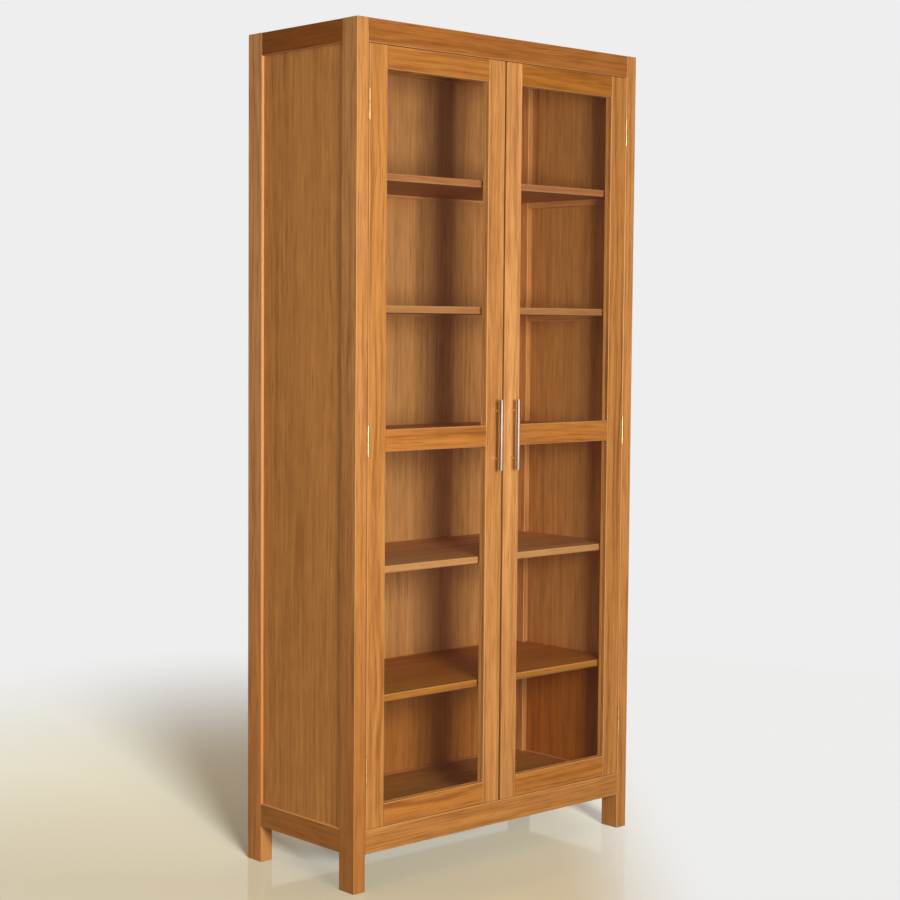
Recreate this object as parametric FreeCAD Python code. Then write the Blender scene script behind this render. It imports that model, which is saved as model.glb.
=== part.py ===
import FreeCAD, Part
import os

# Free-standing teak bookcase with two glazed doors, in millimetres.
# +Z is up, the doors face -Y, and the origin is the middle of the floor area under the closed bookcase.

# Case
case_height = 2200.0
case_width = 1020.0
case_depth = 450.0
leg_height = 97.0          # floor to the underside of the bottom rails
post_width = 38.0          # corner posts, along X
post_depth = 60.0          # corner posts, along Y
edge_ease = 1.5            # bevel on the long edges of posts, rails and stiles
foot_chamfer = 1.0
rail_thickness = 28.0
top_rail_height = 60.0
bottom_rail_height = 62.0

# Mortise and tenon joints of the case
tenon_thickness = 10.0
tenon_shoulder = 12.0      # above and below each tenon
tenon_skin = 16.0          # post wood left outside a front or back tenon
tenon_spacing = 11.0       # post wood left between two crossing mortises
tenon_end_gap = 1.0

# Panels in grooves
panel_thickness = 14.0
panel_recess = 7.0         # outside of the side panels behind the outside of the posts
back_thickness = 9.0
back_setback = 5.0
groove_depth = 8.0
panel_play = 1.0           # room for the panels to swell

# Boards, shelves and the cleats that carry them
top_board_thickness = 20.0
top_board_ledge = 7.0
floor_thickness = 18.0
floor_drop = 1.0           # floor board below the top of the bottom rails
board_play = 0.5
shelf_count = 5
shelf_thickness = 18.0
shelf_setback = 33.0       # shelf front behind the front of the case
shelf_play = 1.0
shelf_edge_ease = 2.0
cleat_width = 16.0
cleat_height = 17.0
cleat_end_gap = 1.0
batten_height = 8.0        # thin battens on the back panel, under the shelves' back edges
batten_depth = 9.0

# Doors
door_thickness = 25.0
door_gap = 2.0             # all round each door
centre_gap = 4.0           # between the two doors
stile_width = 59.0
door_top_rail = 58.0
door_mid_rail = 56.0
door_bottom_rail = 58.0
door_tenon_thickness = 8.0
door_tenon_length = 35.0
door_tenon_shoulder = 12.0
lip_depth = 10.0           # front lip that the glass lies against
rebate_width = 10.0
glass_thickness = 4.0
glass_play = 1.5
bead_edge = 2.5            # bevel on the inner back edge of each bead

# Butt hinges, three to a door
hinge_height = 76.0
hinge_inset = 150.0        # door end to the middle of the outer hinges
hinge_proud = 1.5          # hinge axis in front of the case
knuckle_count = 3
knuckle_gap = 0.3
barrel_radius = 2.75
barrel_relief = 0.3        # wood and leaves clear of a turning knuckle
pin_radius = 1.3
pin_fit = 0.05
pin_head_radius = 2.3
pin_head_height = 1.2
leaf_thickness = 1.6
leaf_width = 22.0          # hinge axis to the back edge of a leaf

# Bar handles
handle_reach = 32.0        # front of the bar in front of the doors
handle_length = 188.0
handle_centres = 128.0
handle_inset = 29.5        # meeting edge of the door to the middle of the bar
handle_lift = 2.5          # middle of the bar above the middle of the door
bar_radius = 5.5
bar_edge = 0.8
handle_post_radius = 3.0
socket_fit = 0.05
screw_radius = 2.0
screw_fit = 0.05
screw_hole_radius = 2.25
screw_reach = 12.0         # screw inside the handle post
screw_end_gap = 1.0
screw_head_radius = 4.0
screw_head_height = 2.6

# Magnetic catches behind the top rail
catch_width = 40.0
catch_depth = 14.0
catch_above = 26.0         # part of the catch that lies on the rail
catch_below = 28.0         # part that hangs behind the door
catch_corner = 2.0
magnet_width = 22.0
magnet_height = 16.0
magnet_depth = 8.0
magnet_proud = 1.2
magnet_foot = 5.0          # bottom of the catch to the bottom of the magnet
catch_plate_thickness = 1.5
catch_plate_border = 3.0   # plate beyond the magnet on every side

# Places that follow from the sizes
half_width = case_width / 2
front = (handle_reach - case_depth) / 2
rear = front + case_depth
post_inner = half_width - post_width
bottom_rail_top = leg_height + bottom_rail_height
top_rail_bottom = case_height - top_rail_height
panel_inner = half_width - panel_recess - panel_thickness
back_front = rear - back_setback - back_thickness
floor_top = bottom_rail_top - floor_drop
floor_bottom = floor_top - floor_thickness
shelf_space = (top_rail_bottom - floor_top - shelf_count * shelf_thickness) / (shelf_count + 1)

door_hinge_edge = -post_inner + door_gap
door_meeting_edge = -centre_gap / 2
door_bottom = bottom_rail_top + door_gap
door_top = top_rail_bottom - door_gap
door_middle = (door_bottom + door_top) / 2
door_back = front + door_thickness
pane_left = door_hinge_edge + stile_width
pane_right = door_meeting_edge - stile_width
pane_heights = {
    "upper": (door_middle + door_mid_rail / 2, door_top - door_top_rail),
    "lower": (door_bottom + door_bottom_rail, door_middle - door_mid_rail / 2),
}
glass_back = front + lip_depth + glass_thickness

hinge_x = -post_inner + door_gap / 2
hinge_y = front - hinge_proud
hinge_middles = (door_bottom + hinge_inset, door_middle, door_top - hinge_inset)
knuckle_height = (hinge_height - (knuckle_count - 1) * knuckle_gap) / knuckle_count

bar_y = front - handle_reach + bar_radius
handle_x = door_meeting_edge - handle_inset
handle_middle = door_middle + handle_lift
handle_heights = (handle_middle - handle_centres / 2, handle_middle + handle_centres / 2)

catch_x = door_meeting_edge - stile_width / 2
catch_front = front + rail_thickness
catch_bottom = top_rail_bottom - catch_below
magnet_bottom = catch_bottom + magnet_foot

X_AXIS = FreeCAD.Vector(1, 0, 0)
Y_AXIS = FreeCAD.Vector(0, 1, 0)
Z_AXIS = FreeCAD.Vector(0, 0, 1)
ORIGIN = FreeCAD.Vector(0, 0, 0)
parallel_limit = 0.001      # sine of the angle under which an edge counts as parallel


# Building blocks

def box(x0, x1, y0, y1, z0, z1):
    return Part.makeBox(x1 - x0, y1 - y0, z1 - z0, FreeCAD.Vector(x0, y0, z0))


def rod(radius, start, axis, length):
    return Part.makeCylinder(radius, length, FreeCAD.Vector(*start), axis)


def mirrored(shape):
    return shape.mirror(ORIGIN, X_AXIS)


def edges_along(shape, axis):
    """Straight edges of a shape that run along an axis."""
    straight = [edge for edge in shape.Edges if isinstance(edge.Curve, Part.Line)]
    return [edge for edge in straight if edge.Curve.Direction.cross(axis).Length < parallel_limit]


def eased(shape, axis, bevel=edge_ease):
    """A bar with its four long edges bevelled."""
    return shape.makeChamfer(bevel, edges_along(shape, axis))


def prism(points, y0, y1):
    """A solid between y0 and y1 from an outline of (x, z) points."""
    corners = [FreeCAD.Vector(x, y0, z) for x, z in points]
    face = Part.Face(Part.makePolygon(corners + corners[:1]))
    return face.extrude(FreeCAD.Vector(0, y1 - y0, 0))


# Case rails: each has a long core whose two ends are the tenons

rail_levels = {
    "top": (top_rail_bottom, case_height),
    "bottom": (leg_height, bottom_rail_top),
}
cross_rail_fronts = {"front": front, "back": rear - rail_thickness}
cross_tenon_end = half_width - tenon_skin
side_tenon_reach = post_depth - (rail_thickness + tenon_thickness) / 2 - tenon_spacing


def cross_core(rail_front, level, extra=0.0):
    """Core of a front or back rail, from tenon end to tenon end."""
    low, high = rail_levels[level]
    end = cross_tenon_end + extra
    y0 = rail_front + (rail_thickness - tenon_thickness) / 2
    return box(-end, end, y0, y0 + tenon_thickness, low + tenon_shoulder, high - tenon_shoulder)


def side_core(level, extra=0.0):
    """Core of the left side rail, from tenon end to tenon end."""
    low, high = rail_levels[level]
    x0 = -half_width + (rail_thickness - tenon_thickness) / 2
    end = post_depth - side_tenon_reach - extra
    return box(x0, x0 + tenon_thickness, front + end, rear - end,
               low + tenon_shoulder, high - tenon_shoulder)


def side_panel(room=0.0):
    """The left side panel, or its slot when it is given room to swell."""
    reach = groove_depth - panel_play + room
    return box(-half_width + panel_recess, -panel_inner,
               front + post_depth - reach, rear - post_depth + reach,
               bottom_rail_top - groove_depth, top_rail_bottom + reach)


def back_panel(room=0.0):
    reach = groove_depth - panel_play + room
    return box(-post_inner - reach, post_inner + reach, back_front, back_front + back_thickness,
               bottom_rail_top - groove_depth, top_rail_bottom + reach)


def post_block(side, end, room=0.0):
    """Plain block of one post; side is -1 for left and end is front or back."""
    y0 = front if end == "front" else rear - post_depth
    x0, x1 = sorted((side * half_width, side * post_inner))
    return box(x0 - room, x1 + room, y0 - room, y0 + post_depth + room, 0, case_height)


def clear_of_posts(board, room):
    for side in (-1, 1):
        for end in ("front", "back"):
            board = board.cut(post_block(side, end, room))
    return board


def top_board_outline(room=0.0):
    inset = rail_thickness - top_board_ledge + board_play - room
    return box(-half_width + inset, half_width - inset, front + inset, rear - inset,
               case_height - top_board_thickness, case_height)


def cross_rail(end, level):
    """A front or back rail, tenoned into the posts at both ends."""
    low, high = rail_levels[level]
    y0 = cross_rail_fronts[end]
    rail = eased(box(-post_inner, post_inner, y0, y0 + rail_thickness, low, high), X_AXIS)
    rail = rail.fuse(cross_core(y0, level))
    if end == "back":
        rail = rail.cut(back_panel(panel_play))
    return rail.cut(top_board_outline(board_play)).removeSplitter()


def side_rail(level):
    """The left rail, tenoned into the front and rear posts."""
    low, high = rail_levels[level]
    rail = eased(box(-half_width, -half_width + rail_thickness,
                     front + post_depth, rear - post_depth, low, high), Y_AXIS)
    rail = rail.fuse(side_core(level)).cut(side_panel(panel_play))
    return rail.cut(top_board_outline(board_play)).removeSplitter()


# Hinges: the leaf on the post has the odd knuckles and the leaf on the door has the rest

def knuckle_span(middle, index):
    low = middle - hinge_height / 2 + index * (knuckle_height + knuckle_gap)
    return low, low + knuckle_height


def hinge_rod(radius, low, high):
    return rod(radius, (hinge_x, hinge_y, low), Z_AXIS, high - low)


def leaf_plate(side, middle):
    """Flat plate of a leaf, flush in the post (side -1) or in the door (side 1)."""
    face = hinge_x + side * door_gap / 2
    x0, x1 = sorted((face, face + side * leaf_thickness))
    return box(x0, x1, hinge_y, hinge_y + leaf_width, middle - hinge_height / 2, middle + hinge_height / 2)


def hinge_leaf(side, middle):
    leaf = leaf_plate(side, middle)
    for index in range(knuckle_count):
        low, high = knuckle_span(middle, index)
        on_post = index % 2 == 0
        if on_post == (side < 0):
            leaf = leaf.fuse(hinge_rod(barrel_radius, low, high))
        else:
            leaf = leaf.cut(hinge_rod(barrel_radius + barrel_relief, low - knuckle_gap, high + knuckle_gap))
    bore = hinge_rod(pin_radius + pin_fit, middle - hinge_height, middle + hinge_height)
    return leaf.cut(bore).removeSplitter()


def hinge_leaves(side):
    return Part.makeCompound([hinge_leaf(side, middle) for middle in hinge_middles])


def hinge_pin(middle):
    """Loose pin, hung by the flat head that sits on the top knuckle."""
    top = middle + hinge_height / 2
    pin = hinge_rod(pin_radius, middle - hinge_height / 2, top)
    return pin.fuse(hinge_rod(pin_head_radius, top, top + pin_head_height)).removeSplitter()


def with_hinge_recesses(wood, side):
    """A post or stile with its leaf mortises and the hollow round each barrel."""
    headroom = pin_head_height + barrel_relief
    for middle in hinge_middles:
        low = middle - hinge_height / 2
        high = middle + hinge_height / 2
        wood = wood.cut(leaf_plate(side, middle))
        wood = wood.cut(hinge_rod(barrel_radius + barrel_relief, low - barrel_relief, high + headroom))
    return wood


# Posts

def post(end):
    """A left corner post with its mortises, grooves and, at the front, hinge recesses."""
    wood = eased(post_block(-1, end), Z_AXIS)
    foot = [edge for edge in wood.Edges if edge.BoundBox.ZMax < foot_chamfer]
    wood = wood.makeChamfer(foot_chamfer, foot)
    for level in rail_levels:
        wood = wood.cut(cross_core(cross_rail_fronts[end], level, tenon_end_gap))
        wood = wood.cut(side_core(level, tenon_end_gap))
    wood = wood.cut(side_panel(panel_play))
    if end == "back":
        return wood.cut(back_panel(panel_play))
    return with_hinge_recesses(wood, -1)


# Boards, shelves and cleats

def top_board():
    return clear_of_posts(top_board_outline(), board_play)


def floor_board():
    inset = rail_thickness + board_play
    board = box(-half_width + inset, half_width - inset, front + inset, rear - inset, floor_bottom, floor_top)
    return clear_of_posts(board, board_play)


def shelf_bottom(number):
    """Underside of a shelf; shelf 1 is the top one."""
    return floor_top + (shelf_count + 1 - number) * shelf_space + (shelf_count - number) * shelf_thickness


def shelf(number):
    low = shelf_bottom(number)
    end = panel_inner - shelf_play
    nose = front + shelf_setback
    board = box(-end, end, nose, back_front - shelf_play, low, low + shelf_thickness)
    board = clear_of_posts(board, shelf_play)
    nose_edges = [edge for edge in edges_along(board, X_AXIS) if abs(edge.CenterOfMass.y - nose) < shelf_play]
    return board.makeChamfer(shelf_edge_ease, nose_edges)


def shelf_cleats():
    """Cleats on the left side panel, one under each shelf."""
    bars = []
    for number in range(1, shelf_count + 1):
        high = shelf_bottom(number)
        bars.append(box(-panel_inner, -panel_inner + cleat_width,
                        front + post_depth + cleat_end_gap, rear - post_depth - cleat_end_gap,
                        high - cleat_height, high))
    return Part.makeCompound(bars)


def shelf_battens():
    """Battens on the back panel, one under the back edge of each shelf."""
    end = post_inner - cleat_end_gap
    bars = []
    for number in range(1, shelf_count + 1):
        high = shelf_bottom(number)
        bars.append(box(-end, end, back_front - batten_depth, back_front, high - batten_height, high))
    return Part.makeCompound(bars)


def floor_cleats():
    """Cleats inside the four bottom rails, under the floor board."""
    low = floor_bottom - cleat_height
    inside = half_width - rail_thickness
    end = post_inner - cleat_end_gap
    left = box(-inside, -inside + cleat_width, front + post_depth + cleat_end_gap,
               rear - post_depth - cleat_end_gap, low, floor_bottom)
    ahead = box(-end, end, front + rail_thickness, front + rail_thickness + cleat_width, low, floor_bottom)
    behind = box(-end, end, rear - rail_thickness - cleat_width, rear - rail_thickness, low, floor_bottom)
    return Part.makeCompound([left, mirrored(left), ahead, behind])


# Catches

def magnet():
    return box(catch_x - magnet_width / 2, catch_x + magnet_width / 2,
               catch_front - magnet_proud, catch_front - magnet_proud + magnet_depth,
               magnet_bottom, magnet_bottom + magnet_height)


def catch():
    """Body of the left catch, on the back of the top rail."""
    body = box(catch_x - catch_width / 2, catch_x + catch_width / 2, catch_front, catch_front + catch_depth,
               catch_bottom, top_rail_bottom + catch_above)
    return eased(body, Y_AXIS, catch_corner).cut(magnet())


# Left door: the rails are tenoned into the stiles, and the panes lie in rebates from behind

door_rail_levels = {
    "top": (door_top - door_top_rail, door_top),
    "mid": (door_middle - door_mid_rail / 2, door_middle + door_mid_rail / 2),
    "bottom": (door_bottom, door_bottom + door_bottom_rail),
}


def door_core(name, extra=0.0):
    """Core of a door rail, from tenon end to tenon end."""
    low, high = door_rail_levels[name]
    reach = door_tenon_length + extra
    y0 = front + (door_thickness - door_tenon_thickness) / 2
    return box(pane_left - reach, pane_right + reach, y0, y0 + door_tenon_thickness,
               low + door_tenon_shoulder, high - door_tenon_shoulder)


def with_rebates(wood):
    for low, high in pane_heights.values():
        wood = wood.cut(box(pane_left - rebate_width, pane_right + rebate_width, front + lip_depth, door_back,
                            low - rebate_width, high + rebate_width))
    return wood.removeSplitter()


def door_stile(left_edge):
    """A stile with mortises for the three rails and rebates for the two panes."""
    wood = eased(box(left_edge, left_edge + stile_width, front, door_back, door_bottom, door_top), Z_AXIS)
    for name in door_rail_levels:
        wood = wood.cut(door_core(name, tenon_end_gap))
    return with_rebates(wood)


def door_rail(name):
    low, high = door_rail_levels[name]
    rail = eased(box(pane_left, pane_right, front, door_back, low, high), X_AXIS)
    return with_rebates(rail.fuse(door_core(name)))


def hinge_stile():
    return with_hinge_recesses(door_stile(door_hinge_edge), 1)


def meeting_stile():
    wood = door_stile(pane_right)
    for height in handle_heights:
        wood = wood.cut(rod(screw_hole_radius, (handle_x, front, height), Y_AXIS, door_thickness))
    return wood


def glass(pane):
    low, high = pane_heights[pane]
    grow = rebate_width - glass_play
    return box(pane_left - grow, pane_right + grow, front + lip_depth, glass_back, low - grow, high + grow)


def beads(pane):
    """Four mitred beads that hold a pane in its rebate."""
    low, high = pane_heights[pane]
    inner = [(pane_left, low), (pane_right, low), (pane_right, high), (pane_left, high)]
    signs = [(-1, -1), (1, -1), (1, 1), (-1, 1)]
    outer = [(x + sx * rebate_width, z + sz * rebate_width) for (x, z), (sx, sz) in zip(inner, signs)]
    bars = []
    for first in range(len(inner)):
        second = (first + 1) % len(inner)
        bar = prism([outer[first], outer[second], inner[second], inner[first]], glass_back, door_back)
        bars.append(bevelled(bar, inner[first], inner[second]))
    return Part.makeCompound(bars)


def bevelled(bar, start, end):
    """A bead with its inner back edge bevelled."""
    middle = FreeCAD.Vector((start[0] + end[0]) / 2, door_back, (start[1] + end[1]) / 2)
    edge = min(bar.Edges, key=lambda e: (e.CenterOfMass - middle).Length)
    return bar.makeChamfer(bead_edge, [edge])


def handle_bar():
    bar = rod(bar_radius, (handle_x, bar_y, handle_middle - handle_length / 2), Z_AXIS, handle_length)
    ends = [edge for edge in bar.Edges if edge.Closed]
    bar = bar.makeChamfer(bar_edge, ends)
    for height in handle_heights:
        bar = bar.cut(rod(handle_post_radius + socket_fit, (handle_x, bar_y, height), Y_AXIS, bar_radius))
    return bar


def handle_posts():
    """Two round posts from the stile into the bar, tapped for the screws."""
    posts = []
    depth = screw_reach + screw_end_gap
    for height in handle_heights:
        shank = rod(handle_post_radius, (handle_x, bar_y, height), Y_AXIS, front - bar_y)
        tapping = rod(screw_radius + screw_fit, (handle_x, front - depth, height), Y_AXIS, depth)
        posts.append(shank.cut(tapping))
    return Part.makeCompound(posts)


def handle_screws():
    """Cheese head screws through the stile into the handle posts."""
    screws = []
    for height in handle_heights:
        start = (handle_x, front - screw_reach, height)
        shank = rod(screw_radius, start, Y_AXIS, screw_reach + door_thickness)
        head = rod(screw_head_radius, (handle_x, door_back, height), Y_AXIS, screw_head_height)
        screws.append(shank.fuse(head).removeSplitter())
    return Part.makeCompound(screws)


def catch_plate():
    low = magnet_bottom - catch_plate_border
    high = magnet_bottom + magnet_height + catch_plate_border
    side = magnet_width / 2 + catch_plate_border
    plate = box(catch_x - side, catch_x + side, door_back, door_back + catch_plate_thickness, low, high)
    return eased(plate, Y_AXIS, catch_corner)


# Export: left pieces are modelled, and right ones are their mirror images

os.makedirs("parts", exist_ok=True)


def export(name, shape):
    shape.exportStep("parts/" + name + ".step")
    print(name, len(shape.Solids), shape.isValid(), round(shape.Volume))


def export_pair(pattern, shape):
    export(pattern.format("left"), shape)
    export(pattern.format("right"), mirrored(shape))


export_pair("post_front_{}", post("front"))
export_pair("post_rear_{}", post("back"))
for level in rail_levels:
    export(level + "_rail_front", cross_rail("front", level))
    export(level + "_rail_back", cross_rail("back", level))
    export_pair(level + "_rail_{}", side_rail(level))
export_pair("side_panel_{}", side_panel())
export("back_panel", back_panel())
export("top_board", top_board())
export("floor_board", floor_board())
for number in range(1, shelf_count + 1):
    export("shelf_" + str(number), shelf(number))
export_pair("shelf_cleats_{}", shelf_cleats())
export("shelf_battens", shelf_battens())
export("floor_cleats", floor_cleats())
export_pair("post_hinge_leaves_{}", hinge_leaves(-1))
export_pair("hinge_pins_{}", Part.makeCompound([hinge_pin(middle) for middle in hinge_middles]))
export("door_catches", Part.makeCompound([catch(), mirrored(catch())]))
export("catch_magnets", Part.makeCompound([magnet(), mirrored(magnet())]))

export_pair("{}_door_hinge_stile", hinge_stile())
export_pair("{}_door_meeting_stile", meeting_stile())
for name in door_rail_levels:
    export_pair("{}_door_" + name + "_rail", door_rail(name))
for pane in pane_heights:
    export_pair("{}_door_glass_" + pane, glass(pane))
    export_pair("{}_door_beads_" + pane, beads(pane))
export_pair("{}_door_hinge_leaves", hinge_leaves(1))
export_pair("{}_handle_bar", handle_bar())
export_pair("{}_handle_posts", handle_posts())
export_pair("{}_handle_screws", handle_screws())
export_pair("{}_door_catch_plate", catch_plate())
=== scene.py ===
# %% [markdown]
# # A teak bookcase with two glazed doors
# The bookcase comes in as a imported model: every board, rail, pane and hinge is an object of its own at its
# real size. We could model all of it again in Blender, but then two sets of sizes would have to agree. So
# the loaded pieces stay where they are, and this lesson gives them light, timber, glass and metal, and adds
# the small turned and slotted pieces that the eye looks for up close.

# %% Load the bookcase
import math

import bpy
from mathutils import Matrix, Vector


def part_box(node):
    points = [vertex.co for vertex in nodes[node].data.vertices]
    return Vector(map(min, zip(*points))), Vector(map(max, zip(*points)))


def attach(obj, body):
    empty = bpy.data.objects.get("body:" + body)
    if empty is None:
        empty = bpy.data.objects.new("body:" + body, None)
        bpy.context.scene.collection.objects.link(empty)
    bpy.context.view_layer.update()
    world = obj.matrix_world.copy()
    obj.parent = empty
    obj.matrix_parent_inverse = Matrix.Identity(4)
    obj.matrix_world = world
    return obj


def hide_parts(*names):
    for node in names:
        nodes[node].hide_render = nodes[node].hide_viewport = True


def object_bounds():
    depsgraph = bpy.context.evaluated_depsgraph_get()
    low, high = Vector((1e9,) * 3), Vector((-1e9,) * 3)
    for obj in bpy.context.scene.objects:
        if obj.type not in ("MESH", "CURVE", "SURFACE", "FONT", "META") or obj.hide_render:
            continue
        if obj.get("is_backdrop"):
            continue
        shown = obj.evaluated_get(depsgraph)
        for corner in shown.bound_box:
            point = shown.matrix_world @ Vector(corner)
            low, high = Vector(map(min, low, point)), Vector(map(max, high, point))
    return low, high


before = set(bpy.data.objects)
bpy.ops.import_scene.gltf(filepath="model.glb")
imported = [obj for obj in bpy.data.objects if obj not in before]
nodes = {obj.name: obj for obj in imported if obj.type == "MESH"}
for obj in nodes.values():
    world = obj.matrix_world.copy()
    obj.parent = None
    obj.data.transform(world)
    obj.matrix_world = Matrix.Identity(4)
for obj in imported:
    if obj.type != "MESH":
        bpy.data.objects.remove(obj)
cad_low, cad_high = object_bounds()
scene = bpy.context.scene
scene.view_settings.view_transform = "Standard"
bpy.ops.object.select_all(action="DESELECT")
MM = 0.001
print("pieces loaded:", len(nodes), "size in mm:", [round(side / MM) for side in cad_high - cad_low])

# %% [markdown]
# ## The camera
# The photograph was taken from the front left, a little above the middle of the doors. A camera could be
# turned by eye until the edges agree. Here its place and its three angles were worked out from the corners
# of the case, so they are written down as numbers: yaw is the turn about the vertical, pitch the small dip
# below the horizon and roll the slight lean of the picture.

# %% Camera
PICTURE_PIXELS = 900
FOCAL_PIXELS = 1885.8
SENSOR_MM = 36
CLIP_END = 60
EYE = Vector((-3.5063, -3.8262, 1.4425))
YAW, PITCH, ROLL = (math.radians(angle) for angle in (42.507, 3.787, 0.465))

ahead = Vector((math.sin(YAW) * math.cos(PITCH), math.cos(YAW) * math.cos(PITCH), -math.sin(PITCH)))
level = Vector((math.cos(YAW), -math.sin(YAW), 0))
upward = level.cross(ahead)
across = math.cos(ROLL) * level + math.sin(ROLL) * upward
upright = math.cos(ROLL) * upward - math.sin(ROLL) * level

bpy.ops.object.camera_add()
camera = bpy.context.object
camera.matrix_world = Matrix.Translation(EYE) @ Matrix((across, upright, -ahead)).transposed().to_4x4()
camera.data.sensor_width = SENSOR_MM
camera.data.lens = FOCAL_PIXELS * SENSOR_MM / PICTURE_PIXELS
camera.data.clip_end = CLIP_END
scene.camera = camera
print("lens in mm:", round(camera.data.lens, 2))

# %% [markdown]
# ## Small helpers for materials
# A finish is a tree of nodes. Building one means adding a node, setting it and joining it to others many
# times over, so one helper does all three. Colours are written as the hex values that a paint chart or an
# image editor shows, and a second helper turns them to the linear light that Blender calculates in.
# Sockets go by name, or by number where names repeat. A Map Range takes its value as 0, the range that it
# comes from as 1 and 2, and the range that it goes to as 3 and 4. A Mix takes its share as 0, two numbers
# as 2 and 3, or two colours as 6 and 7, and gives the mixed colour as output 2.

# %% Material helpers
# Most of a noise texture lies between these values.
NOISE_LOW, NOISE_HIGH = 0.3, 0.7


def linear(hex_colour):
    """The linear colour of an sRGB hex value such as #D28F50."""
    parts = [int(hex_colour[i:i + 2], 16) / 255 for i in (1, 3, 5)]
    return [c / 12.92 if c <= 0.04045 else ((c + 0.055) / 1.055) ** 2.4 for c in parts] + [1.0]


def add(tree, kind, sockets=None, **settings):
    """A new node with its settings, its values and its links."""
    node = tree.nodes.new(kind)
    for name, value in settings.items():
        setattr(node, name, value)
    for name, value in (sockets or {}).items():
        if isinstance(value, bpy.types.NodeSocket):
            tree.links.new(value, node.inputs[name])
        else:
            node.inputs[name].default_value = value
    return node


def new_material(name):
    """An empty material, its node tree and its output."""
    material = bpy.data.materials.new(name)
    material.use_nodes = True
    tree = material.node_tree
    tree.nodes.clear()
    return material, tree, tree.nodes.new("ShaderNodeOutputMaterial")


def dress(piece, finish):
    """Gives a piece one material all over."""
    piece.data.materials.clear()
    piece.data.materials.append(finish)


print("honey teak in linear light:", [round(c, 3) for c in linear("#D28F50")[:3]])

# %% [markdown]
# ## The world
# The bookcase stands in a pale studio, with an even light grey behind it. A curved backdrop would do, but a
# world that shows one grey to the camera and sends a softer light to everything else is simpler and lights
# the case evenly. Round metal needs something to mirror, because in an even room a steel bar looks like a
# painted one. So its reflections darken towards two walls, behind the left side and far to the right, which
# leaves a bright line between dark sides. The camera sees neither wall.

# %% Soft light of the world
BEHIND = (0.55, 0.70, 0.45)
FRONT_LEVEL, BACK_LEVEL = 0.23, 0.75
SHARE_FROM_BELOW = 0.25
# Where the light starts and stops changing, as parts of a step towards BEHIND and of a step up.
FRONT_AT, BACK_AT = -0.15, 0.85
BELOW_AT, ABOVE_AT = -0.35, 0.15

world = bpy.data.worlds.new("studio")
scene.world = world
world.use_nodes = True
tree = world.node_tree
tree.nodes.clear()
around = add(tree, "ShaderNodeTexCoord").outputs["Generated"]
behind = add(tree, "ShaderNodeVectorMath", {0: around, 1: BEHIND}, operation="DOT_PRODUCT")
front_to_back = add(tree, "ShaderNodeMapRange",
                    {0: behind.outputs["Value"], 1: FRONT_AT, 2: BACK_AT, 3: FRONT_LEVEL, 4: BACK_LEVEL},
                    interpolation_type="SMOOTHSTEP")
height = add(tree, "ShaderNodeSeparateXYZ", {0: around}).outputs["Z"]
from_above = add(tree, "ShaderNodeMapRange",
                 {0: height, 1: BELOW_AT, 2: ABOVE_AT, 3: SHARE_FROM_BELOW, 4: 1.0})
strength = add(tree, "ShaderNodeMath", {0: front_to_back.outputs[0], 1: from_above.outputs[0]},
               operation="MULTIPLY")
soft = add(tree, "ShaderNodeBackground", {"Color": linear("#FFFBF5"), "Strength": strength.outputs[0]})
print("soft light:", FRONT_LEVEL, "from the front,", BACK_LEVEL, "from behind, less from below")

# %% What is seen and mirrored
BACKDROP = "#EEEEEE"
# Each wall: the way to it, the cosines off that way at which it starts and is full, and the light left.
DARK_WALLS = (((-0.94, 0.342, 0.0), 0.35, 0.75, 0.08),
              ((0.94, -0.342, 0.0), 0.76, 0.94, 0.10))
walls = []
for way, starts, full, light_left in DARK_WALLS:
    toward = add(tree, "ShaderNodeVectorMath", {0: around, 1: way}, operation="DOT_PRODUCT")
    wall = add(tree, "ShaderNodeMapRange",
               {0: toward.outputs["Value"], 1: starts, 2: full, 3: 1.0, 4: light_left})
    walls.append(wall.outputs[0])
room = add(tree, "ShaderNodeMath", {0: walls[0], 1: walls[1]}, operation="MINIMUM")
# A ray that passed a pane counts as glossy too, so it is taken out here and sees the plain backdrop.
ray = add(tree, "ShaderNodeLightPath").outputs
mirror_ray = add(tree, "ShaderNodeMath", {0: ray["Is Glossy Ray"], 1: ray["Is Transmission Ray"]},
                 operation="SUBTRACT", use_clamp=True)
mirrored = add(tree, "ShaderNodeMix", {0: mirror_ray.outputs[0], 2: 1.0, 3: room.outputs[0]})
shown = add(tree, "ShaderNodeBackground", {"Color": linear(BACKDROP), "Strength": mirrored.outputs[0]})
glossy = add(tree, "ShaderNodeMath", {0: ray["Is Camera Ray"], 1: ray["Is Glossy Ray"]},
             operation="MAXIMUM")
seen = add(tree, "ShaderNodeMath", {0: glossy.outputs[0], 1: ray["Is Transmission Ray"]},
           operation="MAXIMUM")
either = add(tree, "ShaderNodeMixShader", {0: seen.outputs[0], 1: soft.outputs[0], 2: shown.outputs[0]})
add(tree, "ShaderNodeOutputWorld", {"Surface": either.outputs[0]})
print("backdrop", BACKDROP, "and dark walls in reflections:", len(walls))

# %% [markdown]
# ## The floor
# The floor is cream. It brightens to the right and melts into the grey a few metres away. A plain plane
# would end in a hard horizon, so this one turns clear with distance and to the right. The paint is smooth
# enough to mirror the legs faintly, and patches that differ a little in gloss keep the mirror image from
# being perfect.

# %% Floor paint
FLOOR_SIZE = 12
GLOSS_PATCH = 670 * MM
# Between these depths, in metres along the view from the middle of the case, the paint turns darker.
NEAR_FROM, NEAR_TO = 0.8, -0.4
GLOSSIEST, DULLEST = 0.06, 0.09
# Paint has an index of about 1.5. The low one here keeps the mirror image of the legs faint.
FLOOR_IOR = 1.15

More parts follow.
